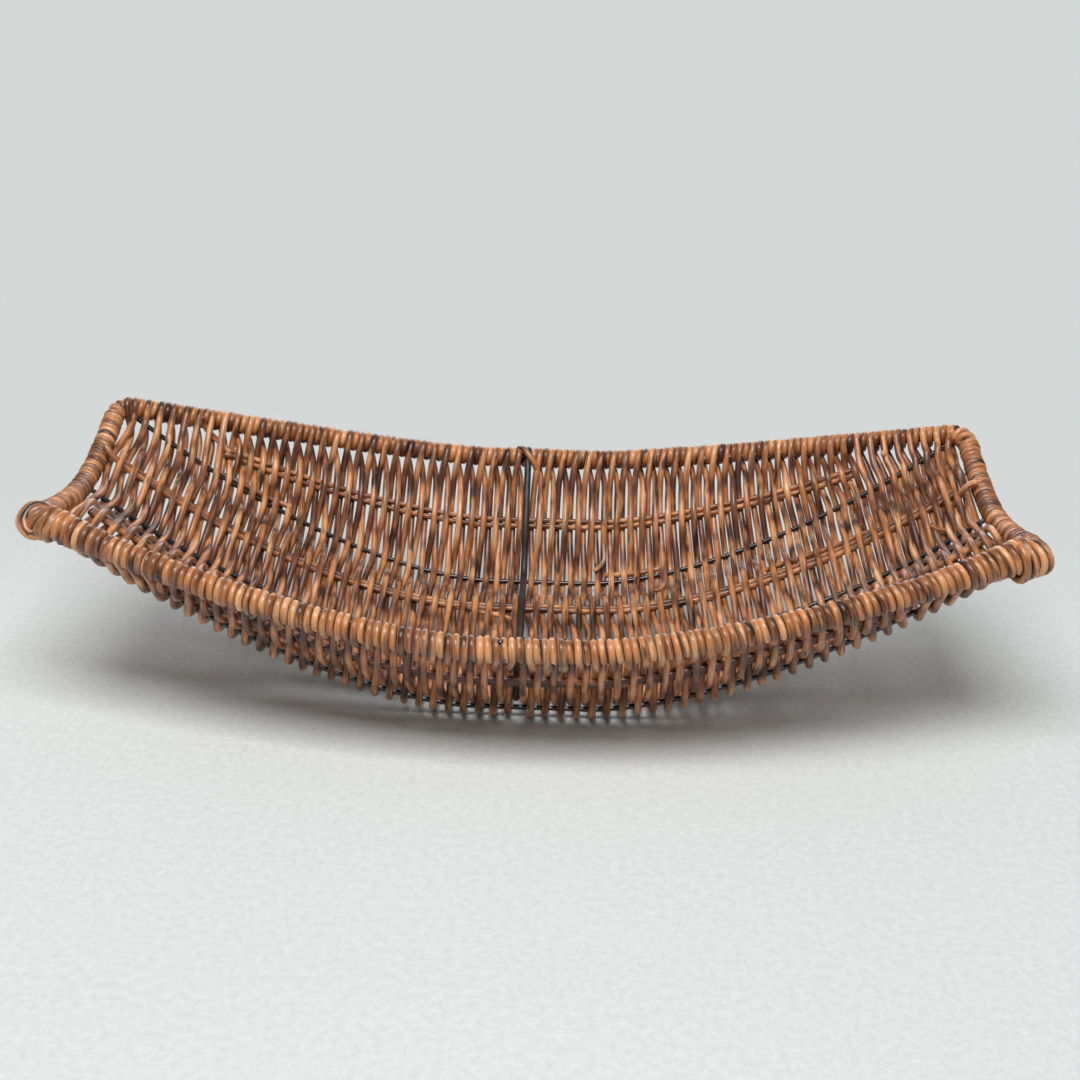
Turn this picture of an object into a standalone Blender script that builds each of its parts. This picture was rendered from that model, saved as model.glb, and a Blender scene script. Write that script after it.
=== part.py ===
"""Shallow woven kitchen basket: rattan rods on an iron wire frame.

The basket is boat-shaped. Its length runs along X and its width along Y, and it rests on the
middle of its curved bottom at Z = 0. All sizes are in metres.
"""
import math

import bpy
from mathutils import Vector

# Driving dimensions of the whole basket
BASKET_LENGTH = 0.420
MIDDLE_WIDTH = 0.212
END_WIDTH = 0.135
BOTTOM_WIDTH = 0.1256
RIM_HEIGHT = 0.0525
CORNER_LIFT = 0.0358
END_RIM_DIP = 0.0145
BOTTOM_ROD_LIFT = 0.0038

# Wires, bars and rods
RING_WIRE_DIAMETER = 0.0030
FRAME_WIRE_DIAMETER = 0.0025
CENTRE_BAR_DIAMETER = 0.0030
ROD_DIAMETER = 0.0033
WEAVE_THICKNESS = 0.0030
CLEARANCE = 0.0003
WEAVE_CLEARANCE = 0.0005
ROD_PAIR_GAP = 0.0003

# Places of the frame and the rods
CENTRE_BAR_X = -0.0065
CORNER_REACH = 0.0095
WALL_ROD_END_MARGIN = 0.051
WALL_ROD_LENGTH = BASKET_LENGTH - 2 * WALL_ROD_END_MARGIN
BOTTOM_ROD_END_MARGIN = 0.011
BOTTOM_ROD_LENGTH = BASKET_LENGTH - 2 * BOTTOM_ROD_END_MARGIN

# Weave
GROUPS_LEFT_OF_BAR = 20
GROUPS_RIGHT_OF_BAR = 21
GROUP_GAP = 0.0015
BAR_SLOT_WIDTH = CENTRE_BAR_DIAMETER + 0.0012
COLUMNS_PER_GROUP = 2
HOOK_STEPS = 5

# End bindings
BINDING_LOOPS = 24
BINDING_POINTS_PER_LOOP = 10
BINDING_END_MARGIN = 0.0060
BINDING_LENGTH = END_WIDTH - 2 * BINDING_END_MARGIN
KEEL_OPENING = FRAME_WIRE_DIAMETER + 0.0015

# Shares of the sizes that they follow
FLAT_LENGTH_SHARE = 0.12
BOTTOM_ROD_SHARE = 0.42
WALL_ROD_SHARE = 0.465
RIM_EXPONENT = 1.42
EDGE_EXPONENT = 1.64
KEEL_EXPONENT = 2.03
BOTTOM_SECTION_EXPONENT = 0.8
END_EXPONENT = 1.7
EDGE_SPREAD_EXPONENT = 4
HOOK_END_TURN_SHARE = 0.30

HALF_LENGTH = BASKET_LENGTH / 2
EDGE_HEIGHT = FRAME_WIRE_DIAMETER / 2 + WEAVE_CLEARANCE + WEAVE_THICKNESS
CORNER_HEIGHT = EDGE_HEIGHT + RIM_HEIGHT + CORNER_LIFT
ROD_PAIR_SPACING = ROD_DIAMETER + ROD_PAIR_GAP
STEP_SHARE = 0.001

# Lengthwise elements in the order in which a weaver rod crosses them, from front to back
FRONT_RIM, FRONT_WALL_ROD, FRONT_EDGE, FRONT_BOTTOM_ROD, KEEL = range(5)
BACK_BOTTOM_ROD, BACK_EDGE, BACK_WALL_ROD, BACK_RIM = range(5, 9)
MIRRORED = {BACK_RIM: FRONT_RIM, BACK_WALL_ROD: FRONT_WALL_ROD, BACK_EDGE: FRONT_EDGE,
            BACK_BOTTOM_ROD: FRONT_BOTTOM_ROD}


def climb(u, exponent):
    """Share of the climb from the flat middle, 0, to the ends of the basket, 1."""
    outside_flat = max(0.0, (abs(u) - FLAT_LENGTH_SHARE) / (1 - FLAT_LENGTH_SHARE))
    return outside_flat ** exponent


def place(element, u):
    """Centre line of a lengthwise element, where u runs from -1 at the left end to 1."""
    if element in MIRRORED:
        point = place(MIRRORED[element], u)
        return Vector((point.x, -point.y, point.z))
    rim_y = END_WIDTH / 2 + (MIDDLE_WIDTH - END_WIDTH) / 2 * (1 - u * u)
    rim_z = EDGE_HEIGHT + RIM_HEIGHT + CORNER_LIFT * climb(u, RIM_EXPONENT)
    edge_y = BOTTOM_WIDTH / 2 + (END_WIDTH - BOTTOM_WIDTH) / 2 * u ** EDGE_SPREAD_EXPONENT
    edge_z = EDGE_HEIGHT + (CORNER_HEIGHT - EDGE_HEIGHT) * climb(u, EDGE_EXPONENT)
    end_low = CORNER_HEIGHT - END_RIM_DIP
    keel_z = EDGE_HEIGHT + (end_low - EDGE_HEIGHT) * climb(u, KEEL_EXPONENT)
    bottom_rod_z = (keel_z + (edge_z - keel_z) * BOTTOM_ROD_SHARE ** BOTTOM_SECTION_EXPONENT
                    + BOTTOM_ROD_LIFT * (1 - u * u))
    y, z = {
        FRONT_RIM: (rim_y, rim_z),
        FRONT_WALL_ROD: (edge_y + (rim_y - edge_y) * WALL_ROD_SHARE,
                         edge_z + (rim_z - edge_z) * WALL_ROD_SHARE),
        FRONT_EDGE: (edge_y, edge_z),
        FRONT_BOTTOM_ROD: (edge_y * BOTTOM_ROD_SHARE, bottom_rod_z),
        KEEL: (0.0, keel_z),
    }[element]
    return Vector((u * HALF_LENGTH, -y, z))


def along(element, u):
    """Unit vector along a lengthwise element, towards the right end."""
    return (place(element, u + STEP_SHARE) - place(element, u - STEP_SHARE)).normalized()


def square_to(direction, axis):
    """Unit vector nearest to a direction among those square to an axis."""
    return (direction - axis * direction.dot(axis)).normalized()


def across(element, u, ahead):
    """Unit vector over the weave, square to the element, towards the back of the basket.

    It is read on the stretch ahead of the element, or on the one behind it. The bottom leaves
    the keel and the two bottom edges level.
    """
    level = element == KEEL or element == (FRONT_EDGE if ahead else BACK_EDGE)
    if level:
        direction = Vector((0, 1, 0))
    elif ahead:
        direction = place(element + 1, u) - place(element, u)
    else:
        direction = place(element, u) - place(element - 1, u)
    return square_to(direction, along(element, u))


def inward(element, u, ahead):
    """Unit normal of the weave beside an element, which points into the basket."""
    return along(element, u).cross(across(element, u, ahead)).normalized()


def end_rim(side, share):
    """Ring wire along one end, where share runs from -1 at the front corner to 1."""
    dip = END_RIM_DIP * (1 - abs(share) ** END_EXPONENT)
    return Vector((side * HALF_LENGTH, share * END_WIDTH / 2, CORNER_HEIGHT - dip))


def ring_points(long_steps, corner_steps, end_steps):
    """Points of the closed ring, anticlockwise from the left end of the front rim."""
    long_limit = 1 - CORNER_REACH / HALF_LENGTH
    end_limit = 1 - CORNER_REACH / (END_WIDTH / 2)
    points = []

    def add_corner(start, side, y_side, finish):
        corner = end_rim(side, y_side)
        for step in range(1, corner_steps):
            t = step / corner_steps
            points.append(start * (1 - t) ** 2 + corner * (2 * t * (1 - t)) + finish * t ** 2)

    front = [place(FRONT_RIM, long_limit * (2 * i / long_steps - 1)) for i in range(long_steps + 1)]
    right = [end_rim(1, end_limit * (2 * i / end_steps - 1)) for i in range(end_steps + 1)]
    back = [Vector((-p.x, -p.y, p.z)) for p in front]
    left = [Vector((-p.x, -p.y, p.z)) for p in right]
    points += front
    add_corner(front[-1], 1, -1, right[0])
    points += right
    add_corner(right[-1], 1, 1, back[0])
    points += back
    add_corner(back[-1], -1, 1, left[0])
    points += left
    add_corner(left[-1], -1, -1, front[0])
    return points


def make_material(name, colour, roughness, metallic):
    material = bpy.data.materials.new(name)
    material.use_nodes = True
    shader = material.node_tree.nodes["Principled BSDF"]
    shader.inputs["Base Color"].default_value = (*colour, 1)
    shader.inputs["Roughness"].default_value = roughness
    shader.inputs["Metallic"].default_value = metallic
    material.diffuse_color = (*colour, 1)
    return material


def add_object(name, data, material):
    """Put one named piece with its own material into the basket's collection."""
    colour, roughness, metallic = material
    data.materials.append(make_material(name, colour, roughness, metallic))
    piece = bpy.data.objects.new(name, data)
    basket.objects.link(piece)
    return piece


TUBE_RESOLUTION = 1


def add_tube(name, points, diameter, material, cyclic=False):
    """Round wire or rod along a line of points, with filled ends."""
    curve = bpy.data.curves.new(name, "CURVE")
    curve.dimensions = "3D"
    curve.bevel_depth = diameter / 2
    curve.bevel_resolution = TUBE_RESOLUTION
    curve.use_fill_caps = not cyclic
    line = curve.splines.new("POLY")
    line.points.add(len(points) - 1)
    for target, point in zip(line.points, points):
        target.co = (*point, 1)
    line.use_cyclic_u = cyclic
    line.use_smooth = True
    return add_object(name, curve, material)


IRON = ((0.018, 0.016, 0.017), 0.35, 0.9)
RATTAN = ((0.32, 0.15, 0.07), 0.45, 0.0)
WEAVE = ((0.27, 0.13, 0.065), 0.45, 0.0)

for old in list(bpy.data.objects):
    bpy.data.objects.remove(old, do_unlink=True)
basket = bpy.data.collections.new("woven_kitchen_basket")
bpy.context.scene.collection.children.link(basket)


# Rim ring: one closed iron wire
LONG_RIM_STEPS = 26
CORNER_STEPS = 4
END_RIM_STEPS = 8
ring = ring_points(LONG_RIM_STEPS, CORNER_STEPS, END_RIM_STEPS)
add_tube("rim_ring", ring, RING_WIRE_DIAMETER, IRON, cyclic=True)


def distance_to_ring(point):
    """Distance from a point to the ring wire's centre line."""
    shortest = BASKET_LENGTH
    for start, finish in zip(ring, ring[1:] + ring[:1]):
        side = finish - start
        t = min(1.0, max(0.0, (point - start).dot(side) / side.length_squared))
        shortest = min(shortest, (start + side * t - point).length)
    return shortest


# Lengthwise frame wires, which butt the ring
WIRE_STEPS = 36


def last_clear_share(element):
    """The u, counted from the middle, at which a frame wire meets the ring."""
    reach = (RING_WIRE_DIAMETER + FRAME_WIRE_DIAMETER) / 2 + CLEARANCE
    u = 0.0
    while u < 1 and distance_to_ring(place(element, u + STEP_SHARE)) > reach:
        u += STEP_SHARE
    return u


for wire_name, element in (("front_bottom_wire", FRONT_EDGE), ("keel_wire", KEEL),
                           ("back_bottom_wire", BACK_EDGE)):
    limit = last_clear_share(element)
    line = [place(element, limit * (2 * i / WIRE_STEPS - 1)) for i in range(WIRE_STEPS + 1)]
    add_tube(wire_name, line, FRAME_WIRE_DIAMETER, IRON)


# Lengthwise rattan rods, in pairs
ROD_STEPS = 24
for pair_name, element, length in (
        ("front_wall_rod", FRONT_WALL_ROD, WALL_ROD_LENGTH),
        ("front_bottom_rod", FRONT_BOTTOM_ROD, BOTTOM_ROD_LENGTH),
        ("back_bottom_rod", BACK_BOTTOM_ROD, BOTTOM_ROD_LENGTH),
        ("back_wall_rod", BACK_WALL_ROD, WALL_ROD_LENGTH)):
    for number, side in ((1, -1), (2, 1)):
        shift = side * ROD_PAIR_SPACING / 2
        line = []
        for i in range(ROD_STEPS + 1):
            u = length / BASKET_LENGTH * (2 * i / ROD_STEPS - 1)
            line.append(place(element, u) + across(element, u, side > 0) * shift)
        add_tube(f"{pair_name}_{number}", line, ROD_DIAMETER, RATTAN)


# Centre bar: lies on the lengthwise wires and rods, and hooks over both long rims
LAID_OVER = range(FRONT_WALL_ROD, BACK_RIM)
BAR_HOOK_STEPS = 6
BAR_HOOK_TURN = math.radians(200)


def rim_circle(element, u, radius, angle):
    """Point round a long rim: angle 0 is inside the basket, a quarter turn is on top."""
    ahead = element == FRONT_RIM
    upwards = across(element, u, ahead) * (-1 if ahead else 1)
    return (place(element, u) + inward(element, u, ahead) * (radius * math.cos(angle))
            + upwards * (radius * math.sin(angle)))


bar_u = CENTRE_BAR_X / HALF_LENGTH
bar_lift = (ROD_DIAMETER + CENTRE_BAR_DIAMETER) / 2 + CLEARANCE
bar_hook = (RING_WIRE_DIAMETER + CENTRE_BAR_DIAMETER) / 2 + CLEARANCE
hook_angles = [BAR_HOOK_TURN * i / BAR_HOOK_STEPS for i in range(BAR_HOOK_STEPS + 1)]
bar_line = [rim_circle(FRONT_RIM, bar_u, bar_hook, angle) for angle in reversed(hook_angles)]
bar_line += [place(e, bar_u) + inward(e, bar_u, e < KEEL) * bar_lift for e in LAID_OVER]
bar_line += [rim_circle(BACK_RIM, bar_u, bar_hook, angle) for angle in hook_angles]
add_tube("centre_bar", bar_line, CENTRE_BAR_DIAMETER, IRON)


# End bindings: a strand wound round each end of the ring, parted where the keel comes in
END_PATH_STEPS = 80


def binding_points(side):
    """Helix round one end rim, with a wider step at the middle for the keel wire."""
    radius = (RING_WIRE_DIAMETER + ROD_DIAMETER) / 2 + CLEARANCE
    radius /= math.cos(math.pi / BINDING_POINTS_PER_LOOP)
    pitch = (BINDING_LENGTH - KEEL_OPENING) / BINDING_LOOPS
    path = [end_rim(side, 2 * i / END_PATH_STEPS - 1) for i in range(END_PATH_STEPS + 1)]
    points = []
    steps = BINDING_LOOPS * BINDING_POINTS_PER_LOOP
    for i in range(steps + 1):
        turns = BINDING_LOOPS * (i / steps - 1 / 2)
        parting = min(1.0, max(-1.0, 2 * turns))
        distance = turns * pitch + parting * KEEL_OPENING / 2
        centre, forward = point_along(path, distance)
        outwards = Vector((side, 0, 0))
        upwards = outwards.cross(forward).normalized()
        angle = 2 * math.pi * turns
        points.append(centre + outwards * (radius * math.cos(angle))
                      + upwards * (radius * math.sin(angle)))
    return points


def point_along(path, distance):
    """Point and direction at a distance from the middle of a path."""
    middle = len(path) // 2
    step = 1 if distance >= 0 else -1
    left = abs(distance)
    index = middle
    while True:
        side = path[index + step] - path[index]
        last = not 0 < index + step < len(path) - 1
        if side.length >= left or last:
            return path[index] + side.normalized() * left, side.normalized() * step
        left -= side.length
        index += step


def least_gap(points, diameter, skip):
    """Least gap between stretches of a tube that lie at least skip points apart."""
    nearest = min((p - q).length for i, p in enumerate(points) for q in points[i + skip:])
    return nearest - diameter


for binding_name, side in (("left_end_binding", -1), ("right_end_binding", 1)):
    strand = binding_points(side)
    gap = least_gap(strand, ROD_DIAMETER, BINDING_POINTS_PER_LOOP // 2)
    print(f"{binding_name}: least gap to itself {gap * 1000:.2f} mm")
    add_tube(binding_name, strand, ROD_DIAMETER, RATTAN)


# Weaver groups: each is a slice of the weave, a few rods wide, that goes over and under
def face_offset(element):
    """Distance between an element's centre line and the middle of the weave beside it."""
    frame = element in (FRONT_EDGE, KEEL, BACK_EDGE)
    diameter = FRAME_WIRE_DIAMETER if frame else ROD_DIAMETER
    return (diameter + WEAVE_THICKNESS) / 2 + WEAVE_CLEARANCE


def flat_half_width(element):
    """Half of the flat stretch of the weave on one element."""
    frame = element in (FRONT_EDGE, KEEL, BACK_EDGE)
    return FRAME_WIRE_DIAMETER if frame else (ROD_DIAMETER + ROD_PAIR_SPACING) / 2


def hook_line(element, u, first_side):
    """The weave's lap over a long rim, from the wall over the top to the other side."""
    step = math.pi * (1 + HOOK_END_TURN_SHARE) / HOOK_STEPS
    radius = ((RING_WIRE_DIAMETER + WEAVE_THICKNESS) / 2 + WEAVE_CLEARANCE) / math.cos(step / 2)
    angles = [step * i for i in range(HOOK_STEPS + 1)]
    if first_side < 0:
        angles = [math.pi - angle for angle in angles]
    return [rim_circle(element, u, radius, angle) for angle in angles]


def slice_line(u, group, has_wall_rods):
    """Middle line of the weave across the basket at one place along its length."""
    parity = -1 if group % 2 == 0 else 1
    line = list(reversed(hook_line(FRONT_RIM, u, parity)))
    for element in range(FRONT_WALL_ROD, BACK_RIM):
        behind, ahead = inward(element, u, False), inward(element, u, True)
        centre = place(element, u)
        if element in (FRONT_WALL_ROD, BACK_WALL_ROD) and not has_wall_rods:
            line.append(centre + ahead * (parity * face_offset(KEEL)))
            continue
        lift = (parity if element % 2 == 0 else -parity) * face_offset(element)
        half_width = flat_half_width(element)
        line.append(centre - across(element, u, False) * half_width + behind * lift)
        if element in (FRONT_EDGE, BACK_EDGE):
            bend = (behind + ahead).normalized()
            line.append(centre + bend * (lift / bend.dot(ahead)))
        line.append(centre + across(element, u, True) * half_width + ahead * lift)
    line += hook_line(BACK_RIM, u, parity)
    return line


def add_weaver_group(name, group, u_start, u_end):
    """One slice of the weave as an open sheet that Solidify gives its thickness."""
    middle = abs(u_start + u_end) / 2 * BASKET_LENGTH
    has_wall_rods = middle < WALL_ROD_LENGTH
    sheet = bpy.data.meshes.new(name)
    vertices = []
    for column in range(COLUMNS_PER_GROUP):
        u = u_start + (u_end - u_start) * column / (COLUMNS_PER_GROUP - 1)
        vertices += slice_line(u, group, has_wall_rods)
    rows = len(vertices) // COLUMNS_PER_GROUP
    faces = []
    for column in range(COLUMNS_PER_GROUP - 1):
        for row in range(rows - 1):
            corner = column * rows + row
            faces.append((corner, corner + rows, corner + rows + 1, corner + 1))
    sheet.from_pydata(vertices, [], faces)
    sheet.update()
    piece = add_object(name, sheet, WEAVE)
    shell = piece.modifiers.new("Thickness", "SOLIDIFY")
    shell.thickness = WEAVE_THICKNESS
    shell.offset = 0
    shell.use_even_offset = True
    return piece


weave_limit = 1 - CORNER_REACH / HALF_LENGTH
slot_left = (CENTRE_BAR_X - BAR_SLOT_WIDTH / 2) / HALF_LENGTH
slot_right = (CENTRE_BAR_X + BAR_SLOT_WIDTH / 2) / HALF_LENGTH
half_gap = GROUP_GAP / 2 / HALF_LENGTH
left_width = (slot_left + weave_limit) / GROUPS_LEFT_OF_BAR
right_width = (weave_limit - slot_right) / GROUPS_RIGHT_OF_BAR
for number in range(GROUPS_LEFT_OF_BAR):
    start = -weave_limit + number * left_width
    add_weaver_group(f"weaver_group_{number + 1:02d}", number,
                     start + half_gap, start + left_width - half_gap)
for number in range(GROUPS_RIGHT_OF_BAR):
    start = slot_right + number * right_width
    add_weaver_group(f"weaver_group_{GROUPS_LEFT_OF_BAR + number + 1:02d}",
                     GROUPS_LEFT_OF_BAR + number,
                     start + half_gap, start + right_width - half_gap)
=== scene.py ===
import math

import bpy
import numpy as np
from mathutils import Matrix, Vector


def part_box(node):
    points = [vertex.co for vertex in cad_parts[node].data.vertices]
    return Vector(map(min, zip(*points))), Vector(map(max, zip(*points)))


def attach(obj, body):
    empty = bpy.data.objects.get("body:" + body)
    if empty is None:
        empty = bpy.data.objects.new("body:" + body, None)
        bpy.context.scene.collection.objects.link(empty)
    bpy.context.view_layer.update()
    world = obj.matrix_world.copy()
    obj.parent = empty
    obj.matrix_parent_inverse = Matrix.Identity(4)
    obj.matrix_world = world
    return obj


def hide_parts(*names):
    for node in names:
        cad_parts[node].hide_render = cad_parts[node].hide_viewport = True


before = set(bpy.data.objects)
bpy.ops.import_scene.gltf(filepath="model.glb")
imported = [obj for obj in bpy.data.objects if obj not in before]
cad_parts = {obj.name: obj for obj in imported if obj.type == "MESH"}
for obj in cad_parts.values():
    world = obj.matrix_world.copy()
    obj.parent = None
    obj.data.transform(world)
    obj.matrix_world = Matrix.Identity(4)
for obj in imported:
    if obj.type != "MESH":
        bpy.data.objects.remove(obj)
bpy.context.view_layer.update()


# Iron frame of the basket: the ring wire that runs inside all four rims, three wires under the
# bottom from end to end, and one bar over the middle. Black varnished iron wire, bent cold; the
# bar lies on the rods and is curled over the ring at both of its ends.
BASKET_LENGTH = 0.420
HALF_LENGTH = BASKET_LENGTH / 2
MIDDLE_WIDTH = 0.212
END_WIDTH = 0.135
BOTTOM_WIDTH = 0.1256
RIM_HEIGHT = 0.0525
CORNER_LIFT = 0.0358
END_RIM_DIP = 0.0145
EDGE_HEIGHT = 0.00475
CORNER_HEIGHT = EDGE_HEIGHT + RIM_HEIGHT + CORNER_LIFT
BOTTOM_ROD_LIFT = 0.0038
FLAT_LENGTH_SHARE = 0.12
BOTTOM_ROD_SHARE = 0.42
WALL_ROD_SHARE = 0.465
RIM_EXPONENT = 1.42
EDGE_EXPONENT = 1.64
KEEL_EXPONENT = 2.03
BOTTOM_ROD_EXPONENT = 0.8
END_RIM_EXPONENT = 1.7
# a line's direction is taken between the points this share before and after
NEARBY = 0.002
RIM_POINTS = 161
END_POINTS = 61
CORNER_POINTS = 8
CORNER_REACH = 0.0095
RING_WIRE = 0.0030
FRAME_WIRE = 0.0023
CENTRE_BAR = 0.0036
CENTRE_BAR_X = -0.0065
FRONT_RIM, FRONT_WALL, FRONT_EDGE, FRONT_BOTTOM, KEEL, BACK_BOTTOM, BACK_EDGE, BACK_WALL, \
    BACK_RIM = range(9)


def lines_at(u):
    """The nine lengthwise lines across the basket at shares u of its half length: (n, 9, 3)."""
    u = np.atleast_1d(np.asarray(u, float))
    rise = np.clip((np.abs(u) - FLAT_LENGTH_SHARE) / (1 - FLAT_LENGTH_SHARE), 0, None)
    rim_y = END_WIDTH / 2 + (MIDDLE_WIDTH - END_WIDTH) / 2 * (1 - u * u)
    rim_z = EDGE_HEIGHT + RIM_HEIGHT + CORNER_LIFT * rise ** RIM_EXPONENT
    edge_y = BOTTOM_WIDTH / 2 + (END_WIDTH - BOTTOM_WIDTH) / 2 * u ** 4
    edge_z = EDGE_HEIGHT + (CORNER_HEIGHT - EDGE_HEIGHT) * rise ** EDGE_EXPONENT
    keel_z = EDGE_HEIGHT + (CORNER_HEIGHT - END_RIM_DIP - EDGE_HEIGHT) * rise ** KEEL_EXPONENT
    wall_y = edge_y + (rim_y - edge_y) * WALL_ROD_SHARE
    wall_z = edge_z + (rim_z - edge_z) * WALL_ROD_SHARE
    bottom_z = (keel_z + (edge_z - keel_z) * BOTTOM_ROD_SHARE ** BOTTOM_ROD_EXPONENT
                + BOTTOM_ROD_LIFT * (1 - u * u))
    bottom_y = edge_y * BOTTOM_ROD_SHARE
    y = np.stack([-rim_y, -wall_y, -edge_y, -bottom_y, 0 * u, bottom_y, edge_y, wall_y, rim_y], 1)
    z = np.stack([rim_z, wall_z, edge_z, bottom_z, keel_z, bottom_z, edge_z, wall_z, rim_z], 1)
    return np.stack([np.repeat(u[:, None] * HALF_LENGTH, 9, 1), y, z], 2)


def unit(v):
    return v / np.linalg.norm(v, axis=-1, keepdims=True)


def normals_at(u):
    """Unit normals into the basket on those nine lines, halfway between the two stretches."""
    here = lines_at(u)
    along = unit(lines_at(np.asarray(u) + NEARBY) - lines_at(np.asarray(u) - NEARBY))
    steps = unit(here[:, 1:] - here[:, :-1])
    across = np.concatenate([steps[:, :1], unit(steps[:, 1:] + steps[:, :-1]), steps[:, -1:]], 1)
    across = unit(across - along * (across * along).sum(-1, keepdims=True))
    return np.cross(along, across)


def end_rim(side, share):
    """Point on the left (-1) or right (1) end rim, at a share of half its width."""
    dip = END_RIM_DIP * (1 - abs(share) ** END_RIM_EXPONENT)
    return np.array([side * HALF_LENGTH, share * END_WIDTH / 2, CORNER_HEIGHT - dip])


def ring_path():
    """Centre line of the closed ring, anticlockwise from the left end of the front rim."""
    long_limit = 1 - CORNER_REACH / HALF_LENGTH
    end_limit = 1 - CORNER_REACH / (END_WIDTH / 2)
    front = lines_at(np.linspace(-long_limit, long_limit, RIM_POINTS))[:, FRONT_RIM]
    right = np.array([end_rim(1, s) for s in np.linspace(-end_limit, end_limit, END_POINTS)])
    turn = np.array([-1, -1, 1])
    t = np.linspace(0, 1, CORNER_POINTS + 2)[1:-1, None]

    def corner(a, side, y_side, b):
        return a * (1 - t) ** 2 + end_rim(side, y_side) * 2 * t * (1 - t) + b * t ** 2

    back, left = front * turn, right * turn
    return np.concatenate([front, corner(front[-1], 1, -1, right[0]), right,
                           corner(right[-1], 1, 1, back[0]), back,
                           corner(back[-1], -1, 1, left[0]), left,
                           corner(left[-1], -1, -1, front[0])])


def smooth_line(points, step):
    """Catmull-Rom curve through the points, with a point about every step metres."""
    p = np.asarray(points, float)
    p = np.concatenate([[2 * p[0] - p[1]], p, [2 * p[-1] - p[-2]]])
    out = []
    for a, b, c, d in zip(p, p[1:], p[2:], p[3:]):
        n = max(1, int(round(np.linalg.norm(c - b) / step)))
        t = (np.arange(n) / n)[:, None]
        out.append(b + 0.5 * t * (c - a + t * (2 * a - 5 * b + 4 * c - d
                                               + t * (3 * (b - c) + d - a))))
    return np.concatenate(out + [p[-2:-1]])


def tube(points, radius, sides, closed=False):
    """Vertices, faces and grain coordinates of a round rod along a line of points."""
    p = np.asarray(points, float)
    n = len(p)
    radius = np.broadcast_to(radius, (n,)).astype(float)
    if closed:
        t = unit(np.roll(p, -1, 0) - np.roll(p, 1, 0))
    else:
        t = unit(np.gradient(p, axis=0))
        # three short rings round each end off
        dome = np.array([0.35, 0.75, 0.95])
        reach = np.array([1.0, 0.7, 0.35]) * 0.6
        p = np.concatenate([p[:1] - t[:1] * radius[0] * reach[:, None], p,
                            p[-1:] + t[-1:] * radius[-1] * reach[::-1, None]])
        t = np.concatenate([np.repeat(t[:1], 3, 0), t, np.repeat(t[-1:], 3, 0)])
        radius = np.concatenate([radius[0] * dome, radius, radius[-1] * dome[::-1]])
    frame_x = np.zeros_like(p)
    # a first direction square to the rod, then carried along it without twist
    v = np.cross(t[0], [0.31, 0.83, 0.46])
    v /= np.linalg.norm(v)
    for i in range(len(p)):
        v = v - t[i] * (v @ t[i])
        v /= np.linalg.norm(v)
        frame_x[i] = v
    frame_y = np.cross(t, frame_x)
    if closed:
        # spread the twist that is left over the whole ring
        last = frame_x[-1] - t[0] * (frame_x[-1] @ t[0])
        twist = math.atan2(last @ frame_y[0], last @ frame_x[0])
    else:
        twist = 0.0
    spin = -twist * np.arange(len(p)) / len(p)
    angle = 2 * math.pi * np.arange(sides) / sides + spin[:, None]
    ring = frame_x[:, None] * np.cos(angle)[..., None] + frame_y[:, None] * np.sin(angle)[..., None]
    verts = (p[:, None] + ring * radius[:, None, None]).reshape(-1, 3)
    length = np.r_[0, np.cumsum(np.linalg.norm(np.diff(p, axis=0), axis=1))]
    grain = np.stack([np.cos(angle) * radius[:, None], np.sin(angle) * radius[:, None],
                      np.repeat(length[:, None], sides, 1)], -1).reshape(-1, 3)
    rings = len(p)
    i = np.arange(rings if closed else rings - 1)[:, None]
    j = np.arange(sides)[None]
    k, m = (i + 1) % rings, (j + 1) % sides
    quads = np.stack([i * sides + j, i * sides + m, k * sides + m, k * sides + j], -1)
    quads = quads.reshape(-1, 4)
    caps = []
    if not closed:
        caps = [np.arange(sides)[::-1], (rings - 1) * sides + np.arange(sides)]
    return verts, quads, caps, grain


def rod_piece(name, rods, material, replaced, sides):
    """One piece made of rods, each given as (points, radius, tone, closed), one tone or many."""
    verts, quads, caps, grain, tones = [], [], [], [], []
    start = 0
    for number, (points, radius, tone, closed) in enumerate(rods):
        v, q, c, g = tube(points, radius, sides, closed)
        verts.append(v)
        quads.append(q + start)
        caps += [cap + start for cap in c]
        tone = np.broadcast_to(tone, len(points))
        # each rod is cut from another part of the same cane
        grain.append(g + [0, 0, 7.3 * number + 3.1 * tone[0]])
        if not closed:
            tone = np.r_[[tone[0]] * 3, tone, [tone[-1]] * 3]
        tones.append(np.repeat(tone, sides))
        start += len(v)
    verts, quads = np.concatenate(verts), np.concatenate(quads)
    # nothing reaches below the floor that the basket stands on
    verts[:, 2] = np.maximum(verts[:, 2], 0)
    sizes = [4] * len(quads) + [len(c) for c in caps]
    corners = np.concatenate([quads.ravel()] + caps).astype(np.int32)
    mesh = bpy.data.meshes.new(name)
    mesh.vertices.add(len(verts))
    mesh.vertices.foreach_set("co", verts.ravel())
    mesh.loops.add(len(corners))
    mesh.loops.foreach_set("vertex_index", corners)
    mesh.polygons.add(len(sizes))
    mesh.polygons.foreach_set("loop_start", np.r_[0, np.cumsum(sizes)[:-1]].astype(np.int32))
    mesh.update(calc_edges=True)
    mesh.validate()
    mesh.shade_smooth()
    mesh.attributes.new("grain", "FLOAT_VECTOR", "POINT").data.foreach_set(
        "vector", np.concatenate(grain).astype(np.float32).ravel())
    # the tone of each rod, which on the weavers also holds painted shade
    mesh.attributes.new("tone", "FLOAT", "POINT").data.foreach_set(
        "value", np.concatenate(tones).astype(np.float32))
    mesh.materials.append(material)
    piece = bpy.data.objects.new(name, mesh)
    bpy.context.scene.collection.objects.link(piece)
    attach(piece, "root")
    if replaced:
        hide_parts(*replaced)
    return piece


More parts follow.
